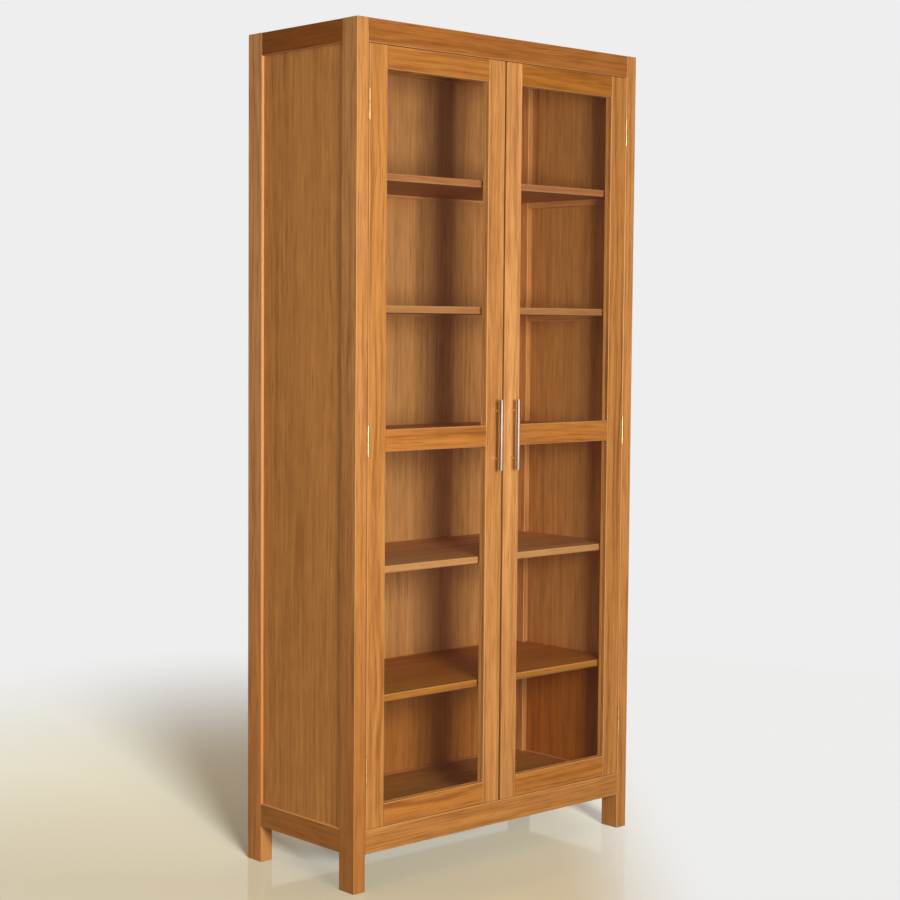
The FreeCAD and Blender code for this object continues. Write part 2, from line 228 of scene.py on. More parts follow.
bpy.ops.mesh.primitive_plane_add(size=FLOOR_SIZE, location=(0, 0, 0))
floor = bpy.context.object
floor.name = "studio_floor"
floor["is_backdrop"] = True

floor_paint, tree, output = new_material("painted studio floor")
place = add(tree, "ShaderNodeTexCoord").outputs["Object"]
depth = add(tree, "ShaderNodeVectorMath", {0: place, 1: (ahead.x, ahead.y, 0)}, operation="DOT_PRODUCT")
near = add(tree, "ShaderNodeMapRange",
           {0: depth.outputs["Value"], 1: NEAR_FROM, 2: NEAR_TO, 3: 0.0, 4: 1.0})
cream = add(tree, "ShaderNodeMix", {0: near.outputs[0], 6: linear("#BFA875"), 7: linear("#AA9364")},
            data_type="RGBA")
# Light that the floor throws back on the case is held down, so that the legs stay as dark as they look.
thrown_back = add(tree, "ShaderNodeLightPath").outputs["Is Diffuse Ray"]
paint = add(tree, "ShaderNodeMix", {0: thrown_back, 6: cream.outputs[2], 7: linear("#665B4A")},
            data_type="RGBA")
mottle = add(tree, "ShaderNodeTexNoise", {"Vector": place, "Scale": 1 / GLOSS_PATCH, "Detail": 0.0})
gloss = add(tree, "ShaderNodeMapRange",
            {0: mottle.outputs["Fac"], 1: NOISE_LOW, 2: NOISE_HIGH, 3: GLOSSIEST, 4: DULLEST})
painted = add(tree, "ShaderNodeBsdfPrincipled",
              {"Base Color": paint.outputs[2], "Roughness": gloss.outputs[0], "IOR": FLOOR_IOR})
print("floor:", FLOOR_SIZE, "m across, gloss patches of", round(GLOSS_PATCH / MM), "mm")

# %% Floor that fades out
FAR_FROM, FAR_TO = 1.0, 3.4
RIGHT_FROM, RIGHT_TO = 0.28, 0.7
MOST_FADED_AT_RIGHT = 0.95

away = add(tree, "ShaderNodeVectorMath", {0: place}, operation="LENGTH")
far = add(tree, "ShaderNodeMapRange", {0: away.outputs["Value"], 1: FAR_FROM, 2: FAR_TO, 3: 0.0, 4: 1.0},
          interpolation_type="SMOOTHSTEP")
sideways = add(tree, "ShaderNodeVectorMath", {0: place, 1: (level.x, level.y, 0)}, operation="DOT_PRODUCT")
right = add(tree, "ShaderNodeMapRange",
            {0: sideways.outputs["Value"], 1: RIGHT_FROM, 2: RIGHT_TO, 3: 0.0, 4: MOST_FADED_AT_RIGHT},
            interpolation_type="SMOOTHSTEP")
fade = add(tree, "ShaderNodeMath", {0: far.outputs[0], 1: right.outputs[0]}, operation="MAXIMUM")
clear = add(tree, "ShaderNodeBsdfTransparent")
faded = add(tree, "ShaderNodeMixShader", {0: fade.outputs[0], 1: painted.outputs[0], 2: clear.outputs[0]})
tree.links.new(faded.outputs[0], output.inputs["Surface"])
dress(floor, floor_paint)
print("floor fades out between", FAR_FROM, "and", FAR_TO, "m, and to the right")

# %% [markdown]
# ## The lamps
# A shadow of the meeting stiles falls on the back panel, and a long shadow lies on the floor behind the
# left side. Both point back to one tall soft lamp, the key, to the left of straight ahead and level with
# the upper panes. A sun lamp could stand in for it, but lights everything alike, while a lamp close by
# lights the middle of the case more than its foot. A weak fill on the left, a little bluer, lifts the side
# of the case as a window would. A narrow strip in front is there for the bright line along the handles.

# %% Lamps for the case
LAMP_DISTANCE = 3.6
DOORS_Y = -0.2
KEY_TURN, KEY_HEIGHT = -23.2, 1.53
STRIP_TURN, STRIP_HEIGHT = -5, 1.2
WINDOW, SIDE_OF_CASE = (-3.0, -1.2, 1.9), (-0.5, 0, 1.4)


def round_front(degrees, height):
    """A place at the lamps' distance from the doors, so many degrees to the right of straight ahead."""
    turn = math.radians(degrees)
    return (LAMP_DISTANCE * math.sin(turn), DOORS_Y - LAMP_DISTANCE * math.cos(turn), height)


def soft_lamp(name, place, target, width, height, watts, tint):
    """A rectangular lamp at place that faces target. It isn't seen itself, not through the panes either."""
    bpy.ops.object.light_add(type="AREA", location=place)
    lamp = bpy.context.object
    lamp.name = name
    lamp.data.shape = "RECTANGLE"
    lamp.data.size = width
    lamp.data.size_y = height
    lamp.data.energy = watts
    lamp.data.color = linear(tint)[:3]
    lamp.visible_camera = False
    lamp.visible_transmission = False
    lamp.rotation_euler = (Vector(target) - Vector(place)).to_track_quat("-Z", "Y").to_euler()
    return lamp


key = soft_lamp("key_softbox", round_front(KEY_TURN, KEY_HEIGHT), (0, DOORS_Y, KEY_HEIGHT),
                width=0.8, height=1.25, watts=102, tint="#FFF8EE")
fill = soft_lamp("window_fill", WINDOW, SIDE_OF_CASE, width=1.4, height=1.4, watts=10, tint="#EEF4FF")
strip = soft_lamp("strip_light", round_front(STRIP_TURN, STRIP_HEIGHT), (0, DOORS_Y, STRIP_HEIGHT),
                  width=0.25, height=1.5, watts=7, tint="#FFFFFF")
print("lamps for the case:", [(lamp.name, lamp.data.energy) for lamp in (key, fill, strip)])

# %% [markdown]
# ## A sun for the floor
# The floor is bright and its shadow is clear, while the wood is only gently lit. More light from the lamps
# would bleach the teak. Light linking lets a lamp work on chosen objects, so the floor gets a sun of its
# own from the key's side. It is bluish, because the paint is warmer than the lit floor looks. It also
# shines past the lowest pieces at the front, because the floor under the case is nearly as light as the
# rest.

# %% Floor sun
SUN_TILT = 64
SUN_SPREAD = 12
SUN_STRENGTH = 15.5
LOW_IN_FRONT = ("post_front_left", "bottom_rail_front", "bottom_rail_left", "floor_board", "floor_cleats",
                "left_door_bottom_rail", "right_door_bottom_rail")


def all_but(name, pieces):
    """A collection that light linking reads as everything but these pieces."""
    spared = bpy.data.collections.new(name)
    for piece in pieces:
        spared.objects.link(piece)
    for member in spared.collection_objects:
        member.light_linking.link_state = "EXCLUDE"
    return spared


bpy.ops.object.light_add(type="SUN", rotation=(math.radians(SUN_TILT), 0, math.radians(KEY_TURN)))
floor_sun = bpy.context.object
floor_sun.name = "floor_sun"
floor_sun.data.energy = SUN_STRENGTH
floor_sun.data.angle = math.radians(SUN_SPREAD)
floor_sun.data.color = linear("#A9C2FF")[:3]
# Its mirror image in the floor would show from behind.
floor_sun.visible_glossy = False
floor_only = bpy.data.collections.new("floor_only")
floor_only.objects.link(floor)
floor_sun.light_linking.receiver_collection = floor_only
passed = all_but("passed_by_floor_sun", [nodes[node] for node in LOW_IN_FRONT])
floor_sun.light_linking.blocker_collection = passed
print("the floor's sun passes", len(LOW_IN_FRONT), "pieces")

# %% [markdown]
# ## Teak
# Every wooden piece was sawn from a log, so the grain runs along its length and each piece shows a
# different slice. A flat picture of wood would have to be wrapped round each piece and would break at the
# corners. A solid pattern does better: the growth rings are cylinders round the heart of the log, a little
# wavy, and the faces of the piece cut through them. The fibres are noise drawn out along the grain, and the
# pores are the same, finer and darker. Real pores are a tenth of a millimetre wide, too fine to show here,
# so they are drawn about two millimetres wide.

# %% The log and its rings
TURN_TO_GRAIN = {"X": (0, -math.pi / 2, 0), "Y": (math.pi / 2, 0, 0), "Z": (0, 0, 0)}
RING_WIDTH = 11 * MM
# The waver that bends the rings: its size across and along the trunk, and how far it bends them.
WAVER_SIZE = (200 * MM, 200 * MM, 625 * MM)
WAVER_REACH = (70 * MM, 70 * MM, 0)
# How far apart in the log, at most, the strips of one panel are cut.
STRIP_SHIFT = (90 * MM, 90 * MM, 5000 * MM)


def in_log(vector, grain):
    """A point of the bookcase in the log's own axes, with the grain along the third."""
    x, y, z = vector
    return {"X": (-z, y, x), "Y": (x, -z, y), "Z": (x, y, z)}[grain]


def glued_strips(tree, log, width, axis):
    """Places in the log for a panel of glued strips, each cut elsewhere, and a chance tone for each."""
    parts = add(tree, "ShaderNodeSeparateXYZ", {0: log})
    strip = add(tree, "ShaderNodeMath", {0: parts.outputs[axis], 1: width}, operation="DIVIDE")
    strip = add(tree, "ShaderNodeMath", {0: strip.outputs[0]}, operation="FLOOR")
    chance = add(tree, "ShaderNodeTexWhiteNoise", {"W": strip.outputs[0]}, noise_dimensions="1D")
    shifted = add(tree, "ShaderNodeVectorMath", {0: chance.outputs["Color"], 1: STRIP_SHIFT, 2: log},
                  operation="MULTIPLY_ADD")
    return shifted.outputs[0], chance.outputs["Value"]


def growth_rings(tree, log):
    """Uneven bands round the heart, bent by a slow waver, that come and go along the trunk."""
    slow = add(tree, "ShaderNodeVectorMath", {0: log, 1: WAVER_SIZE}, operation="DIVIDE")
    waver = add(tree, "ShaderNodeTexNoise", {"Vector": slow.outputs[0], "Scale": 1.0, "Detail": 2.0})
    bent = add(tree, "ShaderNodeVectorMath", {0: waver.outputs["Color"], 1: WAVER_REACH, 2: log},
               operation="MULTIPLY_ADD")
    flat = add(tree, "ShaderNodeVectorMath", {0: bent.outputs[0], 1: (1.0, 1.0, 0.0)}, operation="MULTIPLY")
    radius = add(tree, "ShaderNodeVectorMath", {0: flat.outputs[0]}, operation="LENGTH")
    turns = add(tree, "ShaderNodeMath", {0: radius.outputs["Value"], 1: RING_WIDTH}, operation="DIVIDE")
    along = add(tree, "ShaderNodeSeparateXYZ", {0: log}).outputs["Z"]
    unrolled = add(tree, "ShaderNodeCombineXYZ", {0: turns.outputs[0], 1: along})
    rings = add(tree, "ShaderNodeTexNoise", {"Vector": unrolled.outputs[0], "Scale": 1.0, "Detail": 2.5})
    return rings.outputs["Fac"]


print("grain directions:", sorted(TURN_TO_GRAIN), "rings of about", round(RING_WIDTH / MM), "mm")

# %% The layers of the grain
# Each layer: the size of its features across and along the grain in mm, its fineness, and its share in
# the tone.
FIBRES = (3.6, 190, 4.0, 0.62)
STREAKS = (12.5, 640, 3.0, 0.52)
MOTTLE = (24, 100, 2.0, 0.36)
DRIFT = (83, 1100, 2.0, 0.14)
RINGS_SHARE = 0.58
STRIPS_SHARE = 0.10
LAYER_ROUGHNESS = 0.6
PORE_SIZE = (1.9, 90)
# Noise above these values is the rim and the middle of a pore.
PORE_RIM, PORE_MIDDLE = 0.58, 0.74


def drawn_out(tree, log, across_mm, along_mm, detail, roughness):
    """Noise whose features have these sizes across and along the grain."""
    size = (across_mm * MM, across_mm * MM, along_mm * MM)
    places = add(tree, "ShaderNodeVectorMath", {0: log, 1: size}, operation="DIVIDE")
    noise = add(tree, "ShaderNodeTexNoise", {"Vector": places.outputs[0], "Scale": 1.0,
                                             "Detail": detail, "Roughness": roughness})
    return noise.outputs["Fac"]


def grain_tone(tree, log, figure, strip_tone):
    """One number from pale to dark, and the fibres alone. figure is how strongly the rings show."""
    sources = [(growth_rings(tree, log), RINGS_SHARE * figure)]
    for across_mm, along_mm, detail, share in (FIBRES, STREAKS, MOTTLE, DRIFT):
        sources.append((drawn_out(tree, log, across_mm, along_mm, detail, LAYER_ROUGHNESS), share))
    fibres = sources[1][0]
    if strip_tone is not None:
        sources.append((strip_tone, STRIPS_SHARE))
    # The sum is shifted so that wood of middling tone comes out at a half.
    tone = 0.5 - sum(share for source, share in sources) / 2
    for source, share in sources:
        summed = add(tree, "ShaderNodeMath", {0: source, 1: share, 2: tone}, operation="MULTIPLY_ADD")
        tone = summed.outputs[0]
    return tone, fibres


def pores(tree, log):
    """Short dark dashes along the grain: 1 in a pore, 0 beside it."""
    speck = drawn_out(tree, log, *PORE_SIZE, detail=2.0, roughness=0.5)
    dashes = add(tree, "ShaderNodeMapRange", {0: speck, 1: PORE_RIM, 2: PORE_MIDDLE, 3: 0.0, 4: 1.0})
    return dashes.outputs[0]


print("fibres of", FIBRES[0], "by", FIBRES[1], "mm, pores of", PORE_SIZE[0], "by", PORE_SIZE[1], "mm")

# %% [markdown]
# ## Colour, wear and painted light of the teak
# Oiled teak runs from straw to brown. Each piece has one main tone, and the paler and darker wood, the
# pores, the paler edges and the painted shade are that tone times a tint, so a change of tone carries all of
# them along. Wear could be painted by hand on each piece. Here the marks follow the shape. Bevels are the
# faces that look along none of the three axes, and they are painted paler: a painted highlight, with the
# wear of hands. Below a height the wood is painted darker and more orange as shade, and where the doors meet
# the edges are painted dark as the shade in the gap between them.

# %% Colour, wear and painted light
# Red, green and blue of each kind of wood, of the painted highlight and of the painted shade, as shares of
# a piece's main tone.
PALE_WOOD = (1.24, 1.30, 1.36)
DARK_WOOD = (0.54, 0.45, 0.36)
IN_A_PORE = (0.62, 0.52, 0.42)
# Bevels are painted paler: a painted highlight, with the wear of hands.
RUBBED_AND_HIGHLIT = (1.30, 1.35, 1.45)
# The meeting edges of the doors are painted dark: the shade in the gap between them.
GAP_SHADE_TINT = (0.40, 0.30, 0.18)
RUBBED_AND_HIGHLIT_TOWARDS = "#E8C08A"
PALE_AT, DARK_AT = 0.22, 0.84
# A face is a bevel in full, and not at all, where its normal's largest part is this.
BEVEL_AT, SQUARE_AT = 0.75, 0.95
# How strong, at most, the painted highlight on bevels and the painted shade in the door gap are.
MOST_RUBBED_AND_HIGHLIT, MOST_GAP_SHADE = 0.8, 0.9
GAP_SHADE_EDGE = 0.3 * MM
LOOKS_AWAY = -0.5


def shade(colour, tint):
    """A linear colour made darker or paler, channel by channel."""
    return [min(1.0, c * share) for c, share in zip(colour, tint)] + [1.0]


def highlight_and_wear_share(tree, normal, ledge):
    """How far a face is painted paler: a painted highlight, and bevels worn by hands. Faces that look along
    the ledge axis are painted as bevels are.
    """
    facing = add(tree, "ShaderNodeVectorMath", {0: normal}, operation="ABSOLUTE")
    parts = add(tree, "ShaderNodeSeparateXYZ", {0: facing.outputs[0]})
    most = 0.0
    for axis in "XYZ":
        if axis != ledge:
            larger = add(tree, "ShaderNodeMath", {0: parts.outputs[axis], 1: most}, operation="MAXIMUM")
            most = larger.outputs[0]
    highlit_and_worn = add(tree, "ShaderNodeMapRange", {0: most, 1: BEVEL_AT, 2: SQUARE_AT, 3: MOST_RUBBED_AND_HIGHLIT, 4: 0.0})
    return highlit_and_worn.outputs[0]


def gap_shade_share(tree, place, reach):
    """How far the wood is painted dark as the shade in the gap between the doors: close to the middle of the
    case, within reach of it.
    """
    sideways = add(tree, "ShaderNodeSeparateXYZ", {0: place}).outputs["X"]
    off_middle = add(tree, "ShaderNodeMath", {0: sideways}, operation="ABSOLUTE")
    gap_shade_mask = add(tree, "ShaderNodeMapRange",
                {0: off_middle.outputs[0], 1: reach, 2: reach + GAP_SHADE_EDGE, 3: MOST_GAP_SHADE, 4: 0.0})
    return gap_shade_mask.outputs[0]


def low_shade_share(tree, texture, height, spread, way):
    """How far the wood is painted darker as shade: below a height in mm, on faces that don't look away from
    way.
    """
    up = add(tree, "ShaderNodeSeparateXYZ", {0: texture.outputs["Object"]}).outputs["Z"]
    low_down = add(tree, "ShaderNodeMapRange",
                   {0: up, 1: (height - spread) * MM, 2: (height + spread) * MM, 3: 1.0, 4: 0.0},
                   interpolation_type="SMOOTHSTEP")
    toward = add(tree, "ShaderNodeVectorMath", {0: texture.outputs["Normal"], 1: way},
                 operation="DOT_PRODUCT")
    faces = add(tree, "ShaderNodeMath", {0: toward.outputs["Value"], 1: LOOKS_AWAY},
                operation="GREATER_THAN")
    share = add(tree, "ShaderNodeMath", {0: low_down.outputs[0], 1: faces.outputs[0]},
                operation="MULTIPLY")
    return share.outputs[0]


print("tints of the teak:", {"pale": PALE_WOOD, "dark": DARK_WOOD, "pore": IN_A_PORE})

# %% Teak finish
# Teak is planed, sanded and oiled: a low sheen that breaks up along the fibres, and pores like scratches.
OILED_SMOOTH, OILED_ROUGH = 0.44, 0.58
OILED_SPECULAR = 0.22
PORE_DEPTH, RELIEF_STRENGTH, RELIEF = -0.8, 0.35, 0.4 * MM


def teak(name, grain, heart, tone, boards, board_axis, figure, gap_shade, low_shade, ledge):
    """Oiled teak. heart is where the heart of the log runs, in the log's axes, and tone the colour that the
    eye sees first. boards is the width of the strips in a glued-up panel, or 0. gap_shade is how near to the
    middle of the case the wood is painted dark as the shade in the gap between the doors, or 0. low_shade
    says where and how the wood is painted darker and more orange as shade towards the bottom, and ledge is
    the axis along which the narrow faces beside a recessed panel look."""
    material, tree, output = new_material(name)
    body = linear(tone)
    texture = add(tree, "ShaderNodeTexCoord")
    place = texture.outputs["Object"]
    log = add(tree, "ShaderNodeMapping", {"Vector": place, "Rotation": TURN_TO_GRAIN[grain],
                                          "Location": [-h for h in heart]}).outputs[0]
    strip_tone = None
    if boards:
        log, strip_tone = glued_strips(tree, log, boards, board_axis)

    depth, fibres = grain_tone(tree, log, figure, strip_tone)
    wood = add(tree, "ShaderNodeValToRGB", {0: depth})
    ramp = wood.color_ramp
    ramp.elements[0].position = PALE_AT
    ramp.elements[0].color = shade(body, PALE_WOOD)
    ramp.elements[1].position = DARK_AT
    ramp.elements[1].color = shade(body, DARK_WOOD)
    ramp.elements.new(0.5).color = body

    # Each layer of wear and of painted light: its share at a place, its colour, and how it is laid over the
    # wood.
    pore = pores(tree, log)
    # The paler colour of the bevels: a painted highlight, with the wear of hands.
    pale = [(b + w) / 2 for b, w in zip(shade(body, RUBBED_AND_HIGHLIT), linear(RUBBED_AND_HIGHLIT_TOWARDS))]
    wear_and_painted_light = [(pore, shade(body, IN_A_PORE), "MIX"),
            (highlight_and_wear_share(tree, texture.outputs["Normal"], ledge), pale, "MIX")]
    # Painted shade in the gap between the doors, on their meeting edges.
    if gap_shade:
        wear_and_painted_light.append((gap_shade_share(tree, place, gap_shade), shade(body, GAP_SHADE_TINT), "MIX"))
    # Painted shade: the wood is darker and more orange towards the bottom.
    if low_shade:
        height, spread, tint, way = low_shade
        wear_and_painted_light.append((low_shade_share(tree, texture, height, spread, way), (*tint, 1.0), "MULTIPLY"))
    colour = wood.outputs["Color"]
    for share, layer, blend in wear_and_painted_light:
        colour = add(tree, "ShaderNodeMix", {0: share, 6: colour, 7: layer},
                     data_type="RGBA", blend_type=blend).outputs[2]

    sheen = add(tree, "ShaderNodeMapRange",
                {0: fibres, 1: NOISE_LOW, 2: NOISE_HIGH, 3: OILED_SMOOTH, 4: OILED_ROUGH})
    relief = add(tree, "ShaderNodeMath", {0: pore, 1: PORE_DEPTH, 2: fibres}, operation="MULTIPLY_ADD")
    bump = add(tree, "ShaderNodeBump",
               {"Height": relief.outputs[0], "Strength": RELIEF_STRENGTH, "Distance": RELIEF})
    surface = add(tree, "ShaderNodeBsdfPrincipled",
                  {"Base Color": colour, "Roughness": sheen.outputs[0], "Normal": bump.outputs[0],
                   "Specular IOR Level": OILED_SPECULAR})
    tree.links.new(surface.outputs[0], output.inputs["Surface"])
    return material


print("one finish is made for each wooden piece")

# %% [markdown]
# ## Which board goes where
# A cabinet maker sorts the timber before cutting: straight and pale for the stiles, darker lengths for the
# rails. Grain follows the length of a piece, upright in posts and stiles and level in rails. One finish for
# all would make the figure run on across the joints, so each piece gets its own slice of a log: depth is
# how far the heart lies behind the face that shows, and aside how far to its side, in millimetres. A heart
# close behind the face gives arched figure, and one far to the side gives straight lines.

# %% A slice for each piece
# Along its log each piece starts elsewhere: the golden ratio spreads the starts evenly, in metres.
NEAREST_START, START_RANGE, GOLDEN = 3.0, 7.0, 0.618


def lay_teak(node, grain, face, tone, depth, aside, boards=0, figure=1.0, gap_shade=0, low_shade=None, ledge=""):
    """Gives one loaded piece its own slice of teak. face is the axis that its show face looks along, and
    depth, aside, boards and gap_shade are in millimetres."""
    low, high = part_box(node)
    heart = list(in_log((low + high) / 2, grain))
    looks = in_log([1 if axis == face else 0 for axis in "XYZ"], grain)
    normal_axis = 0 if looks[0] else 1
    heart[normal_axis] += depth * MM
    heart[1 - normal_axis] += aside * MM
    heart[2] -= NEAREST_START + START_RANGE * (sorted(nodes).index(node) * GOLDEN % 1.0)
    finish = teak("teak " + node.replace("_", " "), grain, heart, tone, boards * MM, 1 - normal_axis,
                  figure, gap_shade * MM, low_shade, ledge)
    dress(nodes[node], finish)


def in_teak():
    """How many pieces have their timber."""
    return len([finish for finish in bpy.data.materials if finish.name.startswith("teak ")])


STRAW, WHEAT, HONEY, AMBER = "#DC9B5A", "#D49250", "#CA8845", "#C37D37"
COPPER, RUSSET, UMBER = "#BB7530", "#B47030", "#9B5513"
# Painted shade towards the bottom: height and spread in mm, the tint that the wood is multiplied by, and
# the way that the shaded faces look. The panels are shaded inside only, posts and stiles all round.
ALL_ROUND = (0, 0, 0)
LOW_SHADE_BACK = (485, 60, (0.86, 0.66, 0.36), (0, -1, 0))
LOW_SHADE_RIGHT_SIDE = (485, 60, (0.87, 0.59, 0.15), (-1, 0, 0))
LOW_SHADE_FRONT_POST = (900, 700, (0.75, 0.64, 0.49), ALL_ROUND)
LOW_SHADE_REAR_POST = (700, 500, (0.89, 0.75, 0.53), ALL_ROUND)
LOW_SHADE_RIGHT_POST = (900, 700, (0.88, 0.83, 0.80), ALL_ROUND)
LOW_SHADE_MEETING_STILE = (800, 450, (0.82, 0.78, 0.73), ALL_ROUND)
print("tones sorted out:", STRAW, WHEAT, HONEY, AMBER, COPPER, RUSSET, UMBER)

# %% Case timber
lay_teak("post_front_left", "Z", "Y", WHEAT, 90, 130, low_shade=LOW_SHADE_FRONT_POST)
lay_teak("post_front_right", "Z", "Y", "#DB9753", 80, -120, low_shade=LOW_SHADE_RIGHT_POST)
lay_teak("post_rear_left", "Z", "X", "#E6A05F", 85, 140, low_shade=LOW_SHADE_REAR_POST, ledge="Y")
lay_teak("post_rear_right", "Z", "X", WHEAT, 85, -150)
lay_teak("top_rail_front", "X", "Y", RUSSET, 38, 12, figure=1.4)
lay_teak("top_rail_back", "X", "Y", AMBER, 80, -110)
lay_teak("top_rail_left", "Y", "X", UMBER, 75, 100)
lay_teak("top_rail_right", "Y", "X", RUSSET, 75, -120)
lay_teak("bottom_rail_front", "X", "Y", HONEY, 90, -90)
lay_teak("bottom_rail_back", "X", "Y", AMBER, 80, 120)
lay_teak("bottom_rail_left", "Y", "X", COPPER, 80, 60, ledge="Z")
lay_teak("bottom_rail_right", "Y", "X", COPPER, 80, -80, ledge="Z")
print("case pieces in teak:", in_teak())

# %% Door timber
# The meeting edges of the doors, 2 mm from the middle of the case, are painted dark as the shade in the gap
# between them.
GAP_SHADE_REACH = 3.3
BOLD = 1.7
lay_teak("left_door_hinge_stile", "Z", "Y", HONEY, 85, 120, figure=BOLD)
lay_teak("left_door_meeting_stile", "Z", "Y", WHEAT, 70, -78, figure=BOLD, gap_shade=GAP_SHADE_REACH)
lay_teak("right_door_meeting_stile", "Z", "Y", "#E2A05F", 45, 14, figure=BOLD, gap_shade=GAP_SHADE_REACH,
         low_shade=LOW_SHADE_MEETING_STILE)
lay_teak("right_door_hinge_stile", "Z", "Y", HONEY, 60, -70, figure=BOLD)
lay_teak("left_door_top_rail", "X", "Y", AMBER, 90, 110, figure=BOLD)
lay_teak("left_door_mid_rail", "X", "Y", AMBER, 80, -120, figure=BOLD)
lay_teak("left_door_bottom_rail", "X", "Y", AMBER, 85, 90, figure=BOLD)
lay_teak("right_door_top_rail", "X", "Y", "#B47026", 80, 100, figure=BOLD)
lay_teak("right_door_mid_rail", "X", "Y", AMBER, 90, -100, figure=BOLD)
lay_teak("right_door_bottom_rail", "X", "Y", AMBER, 75, 110, figure=BOLD)
for side in ("left", "right"):
    for pane in ("upper", "lower"):
        lay_teak(f"{side}_door_beads_{pane}", "Z", "X", STRAW, 90, 130)
print("case and door pieces in teak:", in_teak())

# %% Panels and shelves
lay_teak("side_panel_left", "Z", "X", "#D38C45", 95, 60, boards=72, figure=0.8)
lay_teak("side_panel_right", "Z", "X", "#CC8E4B", 95, -60, boards=78, figure=0.8, low_shade=LOW_SHADE_RIGHT_SIDE)
lay_teak("back_panel", "Z", "Y", "#CF9357", 110, 70, boards=84, figure=0.6, low_shade=LOW_SHADE_BACK)
lay_teak("top_board", "X", "Z", HONEY, 90, 50, boards=90, figure=0.9)
lay_teak("floor_board", "X", "Z", "#BB7F36", 90, -60, boards=86, figure=0.9)
SHELF_TONES = ["#B4713E", "#B37741", "#BE8045", "#CE9257", "#B97322"]
for number, tone in enumerate(SHELF_TONES, 1):
    lay_teak(f"shelf_{number}", "X", "Z", tone, 90, 40 - 25 * number, boards=88, figure=0.9)
for node in ("shelf_cleats_left", "shelf_cleats_right", "floor_cleats"):
    lay_teak(node, "Y", "X", STRAW, 90, 120)
lay_teak("shelf_battens", "X", "Y", STRAW, 90, 120)
print("all pieces in teak:", in_teak())

# %% [markdown]
# ## Glass
# The panes are clear float glass, four millimetres thick, and almost vanish: only a faint veil of
# reflected room tells that they are there, and it lifts the deepest shadows behind them. A solid glass
# shader would stop the lamps at the pane and leave the shelves dark, so light that travels to the shelves
# passes as if the pane were clear, and only what is seen goes through glass.

# %% Panes
# Float glass has an index of about 1.5. The lower one here keeps the veil as faint as it looks.
PANE_IOR = 1.14
PANE_TINT = "#FDFFFE"
RIPPLE_WIDTH, RIPPLE_HEIGHT, RIPPLE_STRENGTH = 250 * MM, 0.5 * MM, 0.05
glass, tree, output = new_material("clear float glass")
place = add(tree, "ShaderNodeTexCoord").outputs["Object"]
ripple = add(tree, "ShaderNodeTexNoise", {"Vector": place, "Scale": 1 / RIPPLE_WIDTH, "Detail": 1.0})
wave = add(tree, "ShaderNodeBump",
           {"Height": ripple.outputs["Fac"], "Strength": RIPPLE_STRENGTH, "Distance": RIPPLE_HEIGHT})
pane = add(tree, "ShaderNodeBsdfPrincipled", {"Base Color": linear(PANE_TINT), "Roughness": 0.0,
                                              "Transmission Weight": 1.0, "IOR": PANE_IOR,
                                              "Normal": wave.outputs[0]})
clear = add(tree, "ShaderNodeBsdfTransparent", {"Color": linear(PANE_TINT)})
ray = add(tree, "ShaderNodeLightPath").outputs
light_only = add(tree, "ShaderNodeMath", {0: ray["Is Shadow Ray"], 1: ray["Is Diffuse Ray"]},
                 operation="MAXIMUM")
both = add(tree, "ShaderNodeMixShader", {0: light_only.outputs[0], 1: pane.outputs[0], 2: clear.outputs[0]})
tree.links.new(both.outputs[0], output.inputs["Surface"])

panes = [nodes[node] for node in sorted(nodes) if "_glass_" in node]
for sheet in panes:
    dress(sheet, glass)
print("panes:", [sheet.name for sheet in panes])

# %% [markdown]
# ## Metal and the catches
# The hinges are brass, the handles brushed steel, and the catches behind the top rail dark moulded
# plastic. A flat grey would look like paint. Metal shows its making: brushing leaves fine lines along a
# bar, handling leaves cloudy patches that are duller, and both are noise, drawn out or not. The real lines
# are hair thin, so they are drawn about a millimetre apart here.

# %% Metal finishes
LINE_DEPTH, LINE_STRENGTH = 0.1 * MM, 0.15
# Noise above these values starts to be, and is, a duller patch.
DULL_FROM, DULL_TO = 0.35, 0.7


def metal(name, tone, dull, smoothest, roughest, lines_mm, patch_mm):
    """Bare metal between two tones and two roughnesses. lines_mm is the size of the brushing along X, Y
    and Z, and patch_mm that of the duller patches."""
    material, tree, output = new_material(name)
    place = add(tree, "ShaderNodeTexCoord").outputs["Object"]
    along = add(tree, "ShaderNodeVectorMath", {0: place, 1: [size * MM for size in lines_mm]},
                operation="DIVIDE")
    lines = add(tree, "ShaderNodeTexNoise", {"Vector": along.outputs[0], "Scale": 1.0, "Detail": 3.0})
    cloud = add(tree, "ShaderNodeTexNoise", {"Vector": place, "Scale": 1 / (patch_mm * MM), "Detail": 2.0})
    worn = add(tree, "ShaderNodeMapRange",
               {0: cloud.outputs["Fac"], 1: DULL_FROM, 2: DULL_TO, 3: 0.0, 4: 1.0})
    colour = add(tree, "ShaderNodeMix", {0: worn.outputs[0], 6: linear(tone), 7: linear(dull)},
                 data_type="RGBA")
    rough = add(tree, "ShaderNodeMapRange",
                {0: lines.outputs["Fac"], 1: NOISE_LOW, 2: NOISE_HIGH, 3: smoothest, 4: roughest})
    bump = add(tree, "ShaderNodeBump",
               {"Height": lines.outputs["Fac"], "Strength": LINE_STRENGTH, "Distance": LINE_DEPTH})
    surface = add(tree, "ShaderNodeBsdfPrincipled",
                  {"Base Color": colour.outputs[2], "Metallic": 1.0, "Roughness": rough.outputs[0],
                   "Normal": bump.outputs[0]})
    tree.links.new(surface.outputs[0], output.inputs["Surface"])
    return material


# Old brass gives the thin gold lines in the door gaps.
brass = metal("aged brass", "#DFC08C", "#C29E68", 0.30, 0.45, (1.1, 1.1, 17), 17)
# Steel brushed along its length gives the two bright bars, streaked from end to end.
steel = metal("brushed steel", "#F2DCC6", "#E4CDB5", 0.16, 0.22, (1, 1, 180), 60)
